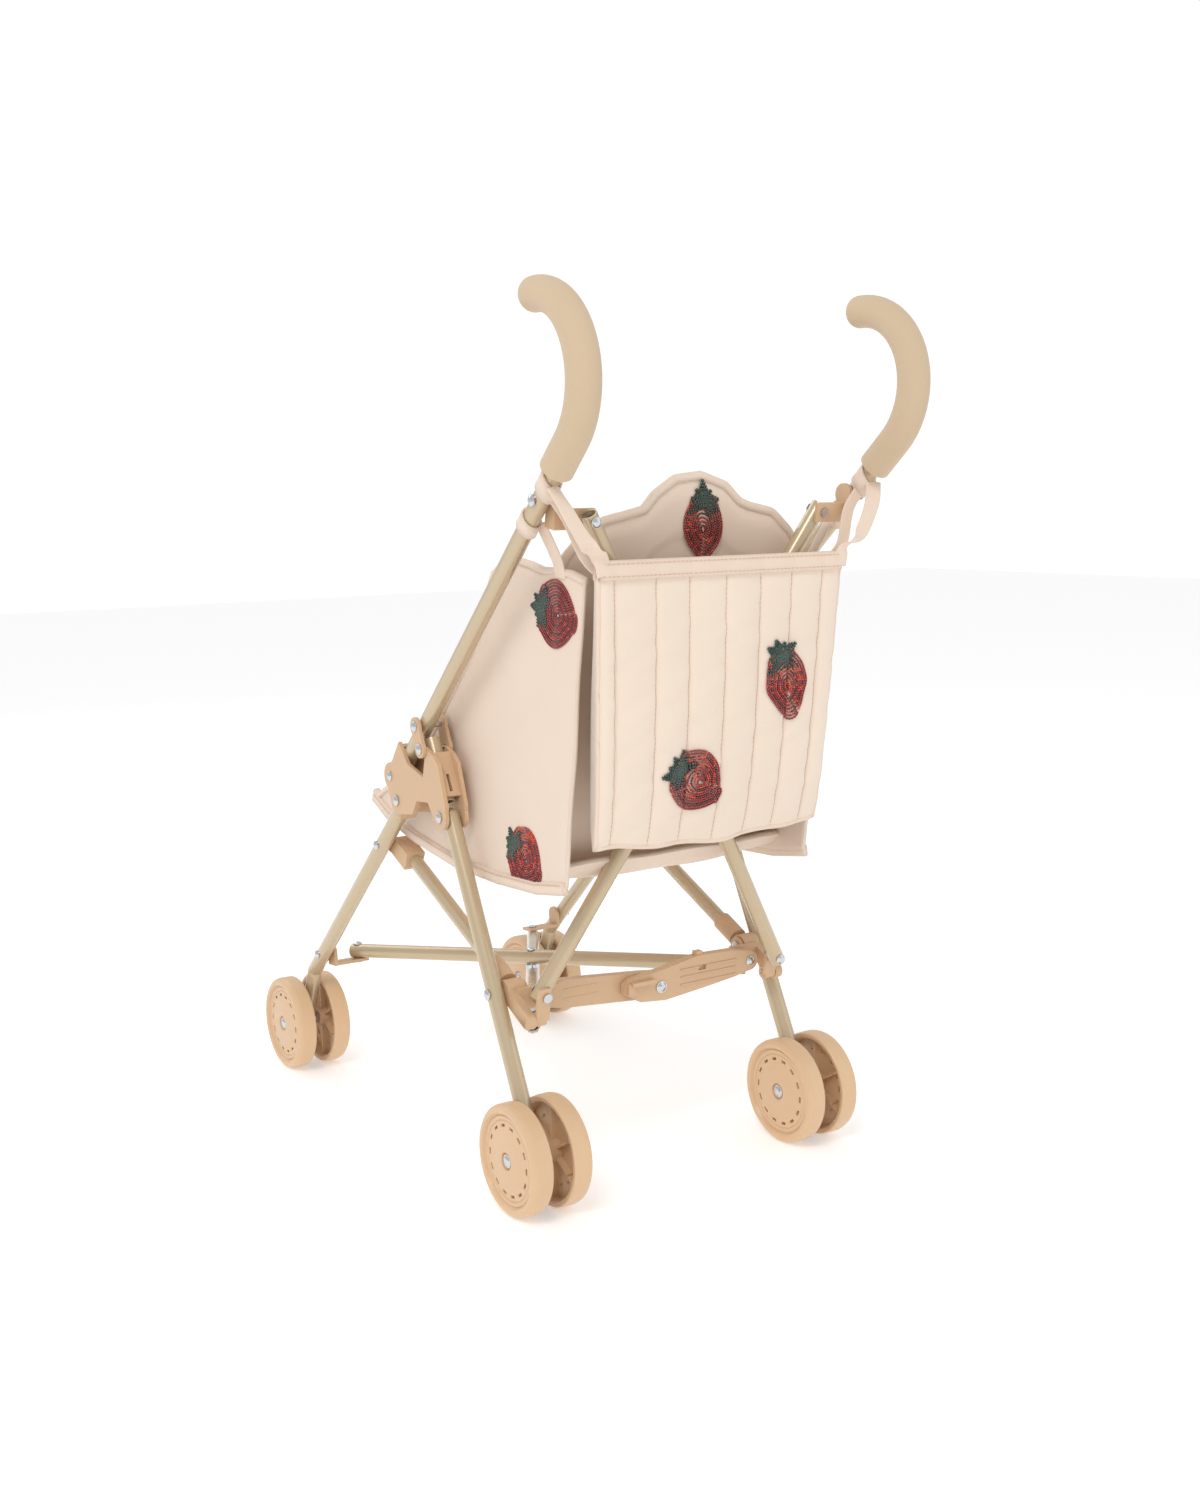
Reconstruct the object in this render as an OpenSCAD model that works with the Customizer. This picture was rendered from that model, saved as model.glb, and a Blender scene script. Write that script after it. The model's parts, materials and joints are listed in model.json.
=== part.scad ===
// Folding doll stroller: side frames, two X cross braces, lock bar, twin wheels,
// fabric seat sling and rear storage bag. Forward is -Y, rear is +Y, up is +Z.

/* [Overall] */
// Distance between the left and right wheel pairs, centre to centre
track = 212; // [190:1:250]
// Distance from the front axle to the rear axle
wheelbase = 344; // [300:1:400]
// Angle of the rear leg from vertical, degrees
rear_lean = 26; // [20:1:32]
// Angle of the front leg from vertical, degrees
front_lean = 47; // [42:1:52]
// Angle of the handle from vertical, degrees
handle_lean = 48.3; // [42:0.1:54]
// Sideways splay of the handle, degrees
handle_splay = 2; // [0:0.5:4]

/* [Legs and hub] */
// Length of the rear leg from axle to hub pivot
rear_leg_len = 220; // [190:1:260]
// Distance from the rear axle up the leg to the lower pivot
lower_pivot_up = 102; // [90:1:120]
// Distance of the front leg pivot ahead of the rear leg pivot
front_pivot_fwd = 60.7; // [55:0.1:70]
// Height of the front leg pivot over the rear leg pivot
front_pivot_up = 2.6; // [0:0.1:10]
// Distance of the handle foot ahead of the rear leg pivot
handle_foot_fwd = 69.5; // [64:0.1:80]
// Height of the handle foot over the rear leg pivot
handle_foot_up = 18.3; // [14:0.1:26]
// Outside diameter of the leg and handle tubes
leg_d = 11; // [9:0.1:13]
// Inside diameter of the leg and handle tubes
leg_bore = 8.8; // [6:0.1:11]
// Distance down the front leg from its pivot to the seat tube rivet
seat_rivet_down = 55; // [45:1:70]
// Distance down the front leg from its pivot to the cross brace rivet
cross_rivet_down = 205; // [180:1:220]
// Distance down the front leg from its pivot to its bend
front_bend_down = 230; // [220:1:245]

/* [Wheels] */
// Wheel diameter
wheel_d = 70; // [60:1:84]
// Wheel width
wheel_w = 13.9; // [10:0.1:18]
// Gap between the two wheels of a pair
wheel_gap = 14.8; // [13.6:0.1:20]
// Number of slots in a wheel disc
wheel_slots = 14; // [8:1:20]
// Axle diameter
axle_d = 6; // [4:0.1:8]

/* [Handle] */
// Straight length of the handle from its foot to the grip bend
handle_len = 323; // [280:1:380]
// Bend radius of the handle hook
hook_r = 46; // [36:1:60]
// Angle of the handle hook, degrees
hook_angle = 138; // [90:1:150]
// Grip diameter
grip_d = 20; // [16:0.5:24]
// Length of the grip below the bend
grip_below = 22; // [15:1:40]
// Distance up the handle from its foot to the upper brace rivet
brace_rivet_up = 275; // [250:1:290]

/* [Cross braces] */
// Diameter of the cross brace tubes
cross_d = 10.5; // [8:0.1:12]
// Inside diameter of the cross brace tubes
cross_bore = 8.5; // [6:0.1:10]
// Sideways distance of a lower brace end pivot from the middle
low_half = 78; // [70:0.5:90]
// Sideways distance of a back brace end pivot from the middle
back_half = 88.322; // [80:0.001:95]
// Diameter of the seat side tubes
seat_tube_d = 10; // [8:0.1:11]

/* [Soft goods] */
// Half width of the seat sling
seat_half = 92.5; // [85:0.5:97]
// Thickness of the seat fabric with its padding
seat_t = 5; // [3:0.5:8]
// Half width of the storage bag
bag_half = 89; // [80:0.5:95]
// Height of the bag top over the floor
bag_top = 394; // [360:1:410]
// Height of the bag bottom over the floor
bag_bottom = 226; // [210:1:250]

/* [Hidden] */
$fn = 48;

fit = 0.05;
gap = 0.3;
leg_x = track / 2;
leg_r = leg_d / 2;
cross_r = cross_d / 2;
wheel_r = wheel_d / 2;
layer = cross_r + gap + 1.05;

rear_axle_p = [0, wheel_r];
front_axle_p = [-wheelbase, wheel_r];
leg_up = [-sin(rear_lean), cos(rear_lean)];
leg_back = [cos(rear_lean), sin(rear_lean)];
leg_dn = [-sin(front_lean), -cos(front_lean)];
leg_dn_back = [cos(front_lean), -sin(front_lean)];
hand = [sin(handle_lean), cos(handle_lean)];
hand_up = [-cos(handle_lean), sin(handle_lean)];
hand_a = 90 - handle_lean;
p3 = rear_axle_p + rear_leg_len * leg_up;
d_p = rear_axle_p + lower_pivot_up * leg_up;
p2 = p3 + [-front_pivot_fwd, front_pivot_up];
p1 = p3 + [-handle_foot_fwd, handle_foot_up];
cf = p2 + seat_rivet_down * leg_dn;
f_p = p2 + cross_rivet_down * leg_dn;
bend_p = p2 + front_bend_down * leg_dn;
t_p = p1 + brace_rivet_up * hand;
q_p = d_p + [27, -13];
l1 = p1 + 57.5 * hand;
l2 = p3 + 47 * leg_up;
splay_x = tan(handle_splay);

function ang(v) = atan2(v[1], v[0]);
function len2(v) = sqrt(v[0] * v[0] + v[1] * v[1]);

// Lower brace plane: offsets from the rear and front pivots
low_nr = -18;
low_nf = -9;
low_ow = 4;
low_w = ang(f_p - d_p) - asin((low_nf - low_nr) / len2(f_p - d_p));
low_a = low_w + 180;
low_len = sqrt(pow(len2(f_p - d_p), 2) - pow(low_nf - low_nr, 2)) - low_ow;

// Back brace plane: offsets from the lower and upper pivots
back_nq = 3;
back_nt = 5;
back_oq = 16;
back_ot = 10;
back_a = ang(t_p - q_p) + asin((back_nq - back_nt) / len2(t_p - q_p));
back_len = sqrt(pow(len2(t_p - q_p), 2) - pow(back_nt - back_nq, 2)) - back_oq - back_ot;

seat_x = leg_x - 13.5;
seat_a = ang(cf - d_p);
seat_len = len2(cf - d_p);
side_in = leg_x - leg_r - gap;
y_shift = (wheelbase + wheel_r - (t_p[0] + (handle_len - brace_rivet_up) * hand[0]
    + hook_r * hand_up[0] + hook_r + grip_d / 2)) / 2;

C_TUBE = [0.8, 0.72, 0.6];
C_PLASTIC = [0.84, 0.7, 0.56];
C_WHEEL = [0.88, 0.74, 0.58];
C_STEEL = [0.75, 0.76, 0.78];
C_GRIP = [0.84, 0.74, 0.64];
C_CLOTH = [0.92, 0.85, 0.79];

module place(side) {
    translate([0, y_shift, 0])
        if (side < 0) mirror([1, 0, 0]) children();
        else children();
}

// Local frame in the side plane: X across, Y along the angle, Z a quarter turn on
module at(x, p, a) translate([x, p[0], p[1]]) rotate([a, 0, 0]) children();

// A side view outline given thickness across
module plate(x0, x1) translate([x0, 0, 0]) rotate([90, 0, 90]) linear_extrude(x1 - x0) children();

// A pin across the frame
module pin(p, x0, x1, r) translate([x0, p[0], p[1]]) rotate([0, 90, 0]) cylinder(h = x1 - x0, r = r);

// A low domed rivet head, facing outward (dir 1) or inward (dir -1)
module head(p, x, dir, r = 3.6) {
    translate([x, p[0], p[1]]) rotate([0, 90 * dir, 0]) head_shape(r);
}

module head_shape(r) {
    cylinder(h = 0.7, r = r);
    intersection() {
        translate([0, 0, 1.9 - r * 1.4]) sphere(r = r * 1.4);
        cylinder(h = 3, r = r - 0.2);
    }
}

// A straight tube in the local Y direction
module tube_y(from, to, od, id) {
    difference() {
        translate([0, from, 0]) rotate([-90, 0, 0]) cylinder(h = to - from, d = od);
        translate([0, from - 1, 0]) rotate([-90, 0, 0]) cylinder(h = to - from + 2, d = id);
    }
}

module rod_y(from, to, d) translate([0, from, 0]) rotate([-90, 0, 0]) cylinder(h = to - from, d = d);

module capsule(a, b, r) {
    v = b - a;
    l = len2(v);
    translate(a) circle(r = r);
    translate(b) circle(r = r);
    translate(a) rotate(ang(v)) translate([0, -r]) square([l, 2 * r]);
}

// ---- hub ----
module hub_outline() {
    translate(p3) polygon([[-75.6, 16.3], [-55.4, 43], [-43.4, 29.6], [-21.6, 23.3],
        [-16.6, 43.3], [-6.6, 39.3], [-0.6, 34.3], [8.4, 7.3], [7, -2], [-7, -4],
        [-15.6, 7.3], [-31.6, 6.3], [-38.6, -3.7], [-53.6, -5.7], [-63.6, -6.7], [-71.6, 5.3]]);
    translate(p1) circle(r = 9);
    translate(p2) circle(r = 9);
    translate(p3) circle(r = 8.5);
}

module hub_bracket_left() color(C_PLASTIC) {
    difference() {
        union() {
            plate(side_in - 2.6, side_in) hub_outline();
            plate(leg_x + leg_r + gap, leg_x + leg_r + gap + 2.6) hub_outline();
            plate(side_in - 0.1, leg_x + leg_r + gap + 0.1) {
                translate(p3) rotate(90 + rear_lean) translate([11, -9]) square([30, 2.8]);
                translate(p1) rotate(hand_a) translate([3, 6]) square([22, 2.6]);
                translate(p2) rotate(ang(leg_dn)) translate([-13, 6.1]) square([24, 2.5]);
            }
        }
        handle_frame() rod_y(0, 40, leg_d);
        pin(p1, side_in - 4, leg_x + 12, 1.6);
        pin(p2, side_in - 4, leg_x + 12, 2 + fit);
        pin(p3, side_in - 4, leg_x + 12, 2 + fit);
        // Moulded slot in the back web
        at(leg_x, p3, 90 + rear_lean) translate([-1, 14, -10]) cube([2, 12, 6]);
    }
}

module handle_frame() {
    at(leg_x, p1, hand_a) rotate([0, 0, -handle_splay]) children();
}

module hook(r_tube, turn) {
    translate([0, handle_len, hook_r]) rotate([0, 90, 0])
        rotate_extrude(angle = turn, $fn = 96) translate([hook_r, 0]) circle(r = r_tube, $fn = 48);
}

module handle_tube_left() color(C_TUBE) {
    difference() {
        handle_frame() {
            difference() {
                union() {
                    rod_y(2.2, handle_len, leg_d);
                    hook(leg_r, hook_angle - 6);
                }
                rod_y(1, handle_len, leg_bore);
                hook(leg_bore / 2, hook_angle - 5);
            }
        }
        pin(l1, leg_x - 10, leg_x + 15, 1.8);
        pin(t_p, leg_x - 10, leg_x + 25, 2);
    }
}

module grip_tip(r, f) {
    rotate_extrude() {
        translate([0, -1]) square([r, 3]);
        translate([0, 2]) square([r - f, f]);
        translate([r - f, 2]) intersection() {
            circle(r = f);
            square([f, f]);
        }
    }
}

module grip_left() color(C_GRIP) {
    handle_frame() {
        difference() {
            union() {
                rod_y(handle_len - grip_below, handle_len, grip_d);
                hook(grip_d / 2, hook_angle);
                translate([0, handle_len, hook_r]) rotate([hook_angle, 0, 0])
                    translate([0, 0, -hook_r]) rotate([-90, 0, 0]) grip_tip(grip_d / 2 - 0.05, 7);
            }
            rod_y(handle_len - grip_below - 1, handle_len, leg_d);
            hook(leg_r, hook_angle - 6);
        }
    }
}

module hub_brace_left() color(C_TUBE) {
    difference() {
        at(leg_x, p3, 90 + rear_lean) tube_y(9.5, 53, leg_d, leg_bore);
        pin(l2, leg_x - 10, leg_x + 10, 1.8);
    }
}

module link_plates_left() color(C_PLASTIC) {
    difference() {
        union() {
            plate(leg_x + 8.6, leg_x + 10.8) link_outline();
            plate(leg_x - 10.8, leg_x - 8.6) link_outline();
        }
        pin(l1, leg_x - 15, leg_x + 15, 1.8);
        pin(l2, leg_x - 15, leg_x + 15, 1.8);
    }
}

module link_outline() {
    capsule(l1, l2, 5.2);
    translate(l1) circle(r = 6);
    translate(l2) circle(r = 6);
}

module frame_rivets_left() color(C_STEEL) {
    pin(p1, side_in - 2.6, leg_x + 8.4, 1.6);
    head(p1, leg_x + 8.4, 1, 3.2);
    head(p1, side_in - 2.6, -1, 3.2);
    for (p = [l1, l2]) {
        pin(p, leg_x - 10.8, leg_x + 10.8, 1.8);
        head(p, leg_x + 10.8, 1);
        head(p, leg_x - 10.8, -1, 3.2);
    }
    t_x = leg_x + splay_x * brace_rivet_up;
    pin(t_p, t_x - 5.3, t_x + 5.7, 2);
    head(t_p, t_x + 5.7, 1);
}

// ---- legs ----
module rear_leg_left() color(C_TUBE) {
    difference() {
        union() {
            at(leg_x, p3, 90 + rear_lean) rod_y(-rear_leg_len - 7, 0, leg_d);
            translate([leg_x, p3[0], p3[1]]) sphere(d = leg_d);
        }
        at(leg_x, p3, 90 + rear_lean) rod_y(-rear_leg_len - 8, -8, leg_bore);
        pin(p3, leg_x - 8, leg_x + 8, 2);
        pin(d_p, leg_x - 8, leg_x + 8, 2);
        pin(rear_axle_p, leg_x - 8, leg_x + 8, axle_d / 2);
    }
}

module rear_leg_rivets_left() color(C_STEEL) {
    pin(p3, side_in - 2.7 - gap, leg_x + 8.4 + gap, 2);
    head(p3, leg_x + 8.4 + gap, 1);
    head(p3, side_in - 2.6 - gap, -1);
    pin(d_p, leg_x - 20.8 - gap, leg_x + leg_r, 2);
    head(d_p, leg_x + leg_r, 1);
    head(d_p, leg_x - 20.8 - gap, -1);
}

foot = front_axle_p - bend_p;

module front_leg_path() {
    at(leg_x, p2, ang(leg_dn)) {
        rod_y(0, front_bend_down, leg_d);
        translate([0, front_bend_down, 0]) sphere(d = leg_d + 0.12);
    }
    at(leg_x, bend_p, ang(foot)) rod_y(0, len2(foot) + 7, leg_d);
}

module front_leg_left() color(C_TUBE) {
    difference() {
        union() {
            front_leg_path();
            translate([leg_x, p2[0], p2[1]]) sphere(d = leg_d);
        }
        at(leg_x, p2, ang(leg_dn)) rod_y(8, front_bend_down - 6, leg_bore);
        at(leg_x, bend_p, ang(foot)) rod_y(6, len2(foot) + 8, leg_bore);
        pin(p2, leg_x - 8, leg_x + 8, 2);
        pin(cf, leg_x - 8, leg_x + 8, 2);
        pin(f_p, leg_x - 8, leg_x + 8, 2);
        pin(front_axle_p, leg_x - 8, leg_x + 8, axle_d / 2);
    }
}

module front_leg_rivets_left() color(C_STEEL) {
    pin(p2, side_in - 2.7 - gap, leg_x + 8.4 + gap, 2);
    head(p2, leg_x + 8.4 + gap, 1);
    head(p2, side_in - 2.6 - gap, -1);
    for (p = [cf, f_p]) {
        pin(p, leg_x - leg_r + 0.1, leg_x + leg_r, 2);
        head(p, leg_x + leg_r, 1, 3.2);
    }
}

// ---- seat side frame ----
module seat_tube_left() color(C_TUBE) {
    at(seat_x, d_p, seat_a) tube_y(10, seat_len - 4, seat_tube_d, seat_tube_d - 2);
}

module seat_tube_clevis_left() color(C_PLASTIC) {
    difference() {
        union() {
            pin(cf, side_in - 2.4, side_in, 6.8);
            at(seat_x, d_p, seat_a) translate([-6.2, seat_len - 24, -6.2])
                cube([side_in - seat_x + 6.2, 22, 12.4]);
        }
        at(seat_x, d_p, seat_a) rod_y(seat_len - 30, seat_len - 4, seat_tube_d);
    }
}

lock_z = wheel_r + 88;
lock_x = 78;
lock_y = [d_p[0] + 10.7, d_p[0] + 17.9];

module corner_bracket_left() corner_bracket();

module corner_bracket() color(C_PLASTIC) {
    difference() {
        union() {
            pin(d_p, leg_x - 18.3, side_in, 7.5);
            at(seat_x, d_p, seat_a) rod_y(8.5, 28, seat_tube_d + 3);
            plate(leg_x - 11, side_in) capsule(d_p, q_p, 5);
            translate([lock_x - 5, d_p[0] + 7.7, lock_z - 7]) cube([leg_x - 11 - lock_x + 6, 2.7, 14]);
        }
        at(seat_x, d_p, seat_a) rod_y(10, 40, seat_tube_d);
        pin(d_p, leg_x - 30, leg_x, 2 + fit);
        translate([lock_x, d_p[0], lock_z]) rotate([-90, 0, 0]) cylinder(h = 20, r = 2 + fit);
    }
    // Hinge stub for the back brace swivel
    difference() {
        pin(q_p, leg_x - 20.2, leg_x - 10, 1.8);
        pin(q_p, leg_x - 21, leg_x - 18, 0.8);
    }
}

// ---- lower brace ----
module low_frame() at(0, d_p, low_a) translate([0, -low_ow, low_nr]) children();

module lower_rear_clevis_left() color(C_PLASTIC) {
    difference() {
        union() {
            plate(leg_x - 20.8, leg_x - 18.6) {
                translate(d_p) circle(r = 6);
                translate(d_p) rotate(low_a) translate([-6, low_nr - 1.05]) square([12, -low_nr + 1.05]);
            }
            low_frame() translate([low_half - 6, -6, -1.05]) cube([leg_x - 18.6 - low_half + 6, 12, 2.1]);
        }
        pin(d_p, leg_x - 30, leg_x, 2 + fit);
        low_frame() translate([low_half, 0, -3]) cylinder(h = 6, r = 2 + fit);
    }
}

module lower_front_clevis_left() color(C_PLASTIC) {
    difference() {
        union() {
            plate(side_in - 2.4, side_in) {
                translate(f_p) circle(r = 6);
                translate(f_p) rotate(low_a) translate([-6, low_nf - 1.05]) square([12, -low_nf + 1.05]);
            }
            low_frame() translate([low_half - 6, -low_len - 6, -1.05])
                cube([side_in - low_half + 6, 12, 2.1]);
        }
        low_frame() translate([low_half, -low_len, -3]) cylinder(h = 6, r = 2 + fit);
    }
}

low_turn = atan2(2 * low_half, low_len);
low_l = sqrt(4 * low_half * low_half + low_len * low_len);

// side = 1: front left to rear right, over the middle plane; -1: the other, under it
module lower_brace(side) color(C_TUBE) low_frame() {
    difference() {
        translate([-side * low_half, 0, side * layer]) rotate([0, 0, 180 + side * low_turn])
            tube_y(-4.5, low_l + 4.5, cross_d, cross_bore);
        for (e = [[-side * low_half, 0], [side * low_half, -low_len], [0, -low_len / 2]])
            translate([e[0], e[1], side * layer - 10]) cylinder(h = 20, r = e[0] == 0 && side > 0 ? 2 + fit : 2);
    }
}

// Rivet square to a brace plane: head on the far side and on the near side
module brace_rivet(x, y, side) translate([x, y, 0]) {
    z0 = side > 0 ? -1.05 - gap : -layer - cross_r;
    z1 = side > 0 ? layer + cross_r : 1.05 + gap;
    translate([0, 0, z0]) cylinder(h = z1 - z0, r = 2);
    translate([0, 0, side > 0 ? z1 : z0]) rotate([side > 0 ? 0 : 180, 0, 0]) head_shape(3.4);
    translate([0, 0, side > 0 ? z0 - 0.9 : z1]) cylinder(h = 0.9, r = 3);
}

module middle_rivet(y, z) translate([0, y, 0]) {
    translate([0, 0, -layer - cross_r]) cylinder(h = 2 * (layer + cross_r) + gap, r = 2);
    translate([0, 0, layer + cross_r + gap]) head_shape(3.4);
    translate([0, 0, -layer - cross_r]) rotate([180, 0, 0]) head_shape(3.4);
    difference() {
        translate([0, 0, -1.05 - gap + 0.02]) cylinder(h = 2.1 + gap, r = 4.5);
        translate([0, 0, -3]) cylinder(h = 6, r = 2);
    }
}

module lower_brace_a() lower_brace(1);

module lower_brace_b() lower_brace(-1);

module lower_brace_rivets_a() color(C_STEEL) low_frame() {
    brace_rivet(-low_half, 0, 1);
    brace_rivet(low_half, -low_len, 1);
}

module lower_brace_rivets_b() color(C_STEEL) low_frame() {
    brace_rivet(low_half, 0, -1);
    brace_rivet(-low_half, -low_len, -1);
    middle_rivet(-low_len / 2, 0);
}

// ---- back brace ----
module back_frame() at(0, q_p, back_a) translate([0, back_oq, -back_nq]) children();

back_turn = atan2(2 * back_half, back_len);
back_l = sqrt(4 * back_half * back_half + back_len * back_len);

// side = 1: lower left to upper right, in front; -1: the other, behind
module back_brace(side) color(C_TUBE) back_frame() {
    difference() {
        translate([side * back_half, 0, side * layer]) rotate([0, 0, side * back_turn])
            tube_y(-4.5, back_l + 4.5, cross_d, cross_bore);
        for (e = [[side * back_half, 0], [-side * back_half, back_len], [0, back_len / 2]])
            translate([e[0], e[1], side * layer - 10]) cylinder(h = 20, r = e[0] == 0 && side > 0 ? 2 + fit : 2);
    }
}

module back_brace_a() back_brace(1);

module back_brace_b() back_brace(-1);

module back_brace_rivets_a() color(C_STEEL) back_frame() {
    brace_rivet(back_half, 0, 1);
    brace_rivet(-back_half, back_len, 1);
}

module back_brace_rivets_b() color(C_STEEL) back_frame() {
    brace_rivet(-back_half, 0, -1);
    brace_rivet(back_half, back_len, -1);
    middle_rivet(back_len / 2, 0);
}

module back_swivel_left() color(C_PLASTIC) {
    difference() {
        union() {
            pin(q_p, leg_x - 19, leg_x - 11.3, 4.2);
            back_frame() translate([leg_x - 20.5, -back_oq, -1.05]) cube([9.2, back_oq + 6, 2.1]);
        }
        pin(q_p, leg_x - 25, leg_x, 1.8 + fit);
        back_frame() translate([back_half, 0, -3]) cylinder(h = 6, r = 2 + fit);
    }
}

t_in = leg_x + splay_x * brace_rivet_up - leg_r - 0.7;

module upper_bracket_left() color(C_PLASTIC) {
    difference() {
        union() {
            plate(t_in - 2.4, t_in) {
                translate(t_p) circle(r = 7);
                translate(t_p) rotate(back_a) translate([-back_ot - 6, -back_nt - 1.05])
                    square([back_ot + 6, back_nt + 5]);
            }
            back_frame() translate([back_half - 6, back_len - 6, -1.05])
                cube([t_in - back_half + 6, 12, 2.1]);
        }
        back_frame() translate([back_half, back_len, -3]) cylinder(h = 6, r = 2 + fit);
    }
}

// ---- lock bar ----
module lock_slab(y) translate([0, y + 6.8, 0]) rotate([90, 0, 0]) linear_extrude(6.8) children();

module lock_arm_left() color(C_PLASTIC) {
    difference() {
        union() {
            lock_slab(lock_y[0]) {
                translate([lock_x, lock_z]) circle(r = 6.5);
                polygon([[lock_x, lock_z + 6.5], [lock_x - 14, lock_z + 9.5], [4, lock_z + 4],
                    [-10, lock_z + 2], [-13, lock_z - 5], [-10, lock_z - 13], [4, lock_z - 14],
                    [lock_x - 14, lock_z - 9], [lock_x, lock_z - 6.5]]);
            }
            for (z = [-3, 3]) translate([40, lock_y[0] + 6.7, lock_z + z - 0.5]) cube([26, 0.35, 1]);
        }
        translate([lock_x, lock_y[0] - 1, lock_z]) rotate([-90, 0, 0]) cylinder(h = 10, r = 2);
    }
}

module lock_arm_right() color(C_PLASTIC) {
    difference() {
        union() {
            lock_slab(lock_y[1]) {
                translate([-lock_x, lock_z]) circle(r = 6.5);
                polygon([[-lock_x, lock_z + 6.5], [-lock_x + 14, lock_z + 9.5], [-38, lock_z + 10.5],
                    [-34, lock_z + 10.5], [-8, lock_z + 6], [18, lock_z + 3], [23, lock_z],
                    [23, lock_z - 7], [12, lock_z - 13], [-8, lock_z - 15], [-38, lock_z - 12],
                    [-lock_x + 14, lock_z - 9], [-lock_x, lock_z - 6.5]]);
            }
            for (z = [-7, -2, 3]) translate([-66, lock_y[1] + 6.7, lock_z + z - 0.5]) cube([46, 0.8, 1]);
            // Foot tab and latch
            translate([-39, lock_y[1] + 1, lock_z + 9]) cube([5, 5, 4]);
            translate([2, lock_y[1] + 6.7, lock_z - 1]) cube([18, 4.2, 2.4]);
            translate([17, lock_y[1] + 6.7, lock_z - 7]) cube([5, 2.2, 8]);
        }
        translate([-lock_x, lock_y[1] - 1, lock_z]) rotate([-90, 0, 0]) cylinder(h = 10, r = 2);
        translate([-4.5, lock_y[1] - 1, lock_z - 5.5]) rotate([-90, 0, 0]) cylinder(h = 10, r = 2);
        translate([-41, lock_y[1] + 4.8, lock_z + 0.5]) cube([6, 4, 3.4]);
    }
}

module lock_rivet(side, y) {
    translate([side * lock_x, d_p[0] + 7.1, lock_z]) rotate([-90, 0, 0]) cylinder(h = y + 6.8 - d_p[0] - 7.1, r = 2);
    translate([side * lock_x, y + 6.8, lock_z]) rotate([-90, 0, 0]) head_shape(3.4);
    translate([side * lock_x, d_p[0] + 6.2, lock_z]) rotate([-90, 0, 0]) cylinder(h = 1.2, r = 3);
}

module lock_rivets_left() color(C_STEEL) lock_rivet(1, lock_y[0]);

module lock_rivets_right() color(C_STEEL) {
    lock_rivet(-1, lock_y[1]);
    translate([-4.5, lock_y[1] + 0.2, lock_z - 5.5]) rotate([-90, 0, 0]) cylinder(h = 6.6, r = 2);
    translate([-4.5, lock_y[1] + 6.8, lock_z - 5.5]) rotate([-90, 0, 0]) head_shape(4);
}

// ---- axles and wheels ----
axle_half = wheel_gap / 2 + wheel_w;

module axle(p) color(C_STEEL) {
    pin(p, leg_x - axle_half + 1.4, leg_x + axle_half - 1.4, axle_d / 2);
    difference() {
        union() {
            pin(p, leg_x - wheel_gap / 2 + gap, leg_x - leg_r, axle_d / 2 + 1.6);
            pin(p, leg_x + leg_r, leg_x + wheel_gap / 2 - gap, axle_d / 2 + 1.6);
        }
        pin(p, leg_x - 10, leg_x + 10, axle_d / 2);
    }
    head(p, leg_x + axle_half - 1.9, 1, 4.2);
    head(p, leg_x - axle_half + 1.9, -1, 4.2);
}

// Wheel about its own axle, outer face up
module wheel_shape() {
    r = wheel_r;
    w = wheel_w;
    b = axle_d / 2 + fit;
    difference() {
        union() {
            rotate_extrude($fn = 120) polygon([[b, 0.3], [7, 0.3], [7, w - 5.6], [r - 8.5, w - 6.4],
                [r - 5, w - 6.4], [r - 4, 0.8], [r - 3, 0], [r - 1, 0], [r - 0.3, 0.8], [r, 3], [r, w - 4],
                [r - 0.7, w - 1.6], [r - 2.2, w - 0.3], [r - 3.6, w], [r - 5.2, w - 0.4],
                [r - 6, w - 1.6], [r - 6.6, w - 2.4], [r - 7.2, w - 1.9], [r - 9.2, w - 1.9],
                [r - 9.8, w - 2.5], [r - 10.4, w - 2.1], [20, w - 1.7], [15, w - 1], [10, w - 0.5],
                [6.4, w - 0.3], [5.6, w - 0.6], [5.2, w - 2.2], [b, w - 2.2]]);
            for (k = [0:5]) rotate(k * 60) translate([6.5, -0.7, 4]) cube([r - 11, 1.4, w - 9.8]);
        }
        for (k = [0:wheel_slots - 1]) rotate((k + 0.5) * 360 / wheel_slots)
            translate([r * 0.60, -2.1, -1]) cube([1.9, 4.2, w + 2]);
    }
}

module wheel(p, outer) color(C_WHEEL)
    translate([leg_x + (outer ? wheel_gap / 2 : -wheel_gap / 2), p[0], p[1]])
        rotate([0, outer ? 90 : -90, 0]) wheel_shape();

// ---- soft goods ----
back_dy = tan(90 - back_a);

function back_y(z) = q_p[0] + (z - q_p[1]) * back_dy;

module seat_sling() color(C_CLOTH) {
    z1 = bag_top + 30;
    z0 = bag_bottom - 18;
    yf = back_y(z0) - 12;
    y1 = back_y(z1) - 12;
    plate(-seat_half, seat_half) {
        polygon([[y1, z1], [y1 - seat_t, z1], [yf - seat_t - 4, z0 + 6], [cf[0], z0 + 1 + seat_t],
            [cf[0] - 50, z0 + 17 + seat_t], [cf[0] - 53, z0 + 17], [cf[0], z0 + 1],
            [yf - 60, z0 - 8], [yf - 6, z0 - 6], [yf, z0 + 6]]);
    }
    for (s = [0, 1]) mirror([s, 0, 0]) plate(seat_half - seat_t, seat_half) {
        polygon([[y1, z1 - 30], [y1 - 100, z1 - 38], [y1 - 110, z1 - 50], [y1 - 105, z1 - 70],
            [cf[0] - 20, z0 + 50], [cf[0] - 50, z0 + 20], [cf[0], z0 + 1],
            [yf - 60, z0 - 8], [yf - 6, z0 - 6], [yf, z0 + 6]]);
    }
}

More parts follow.
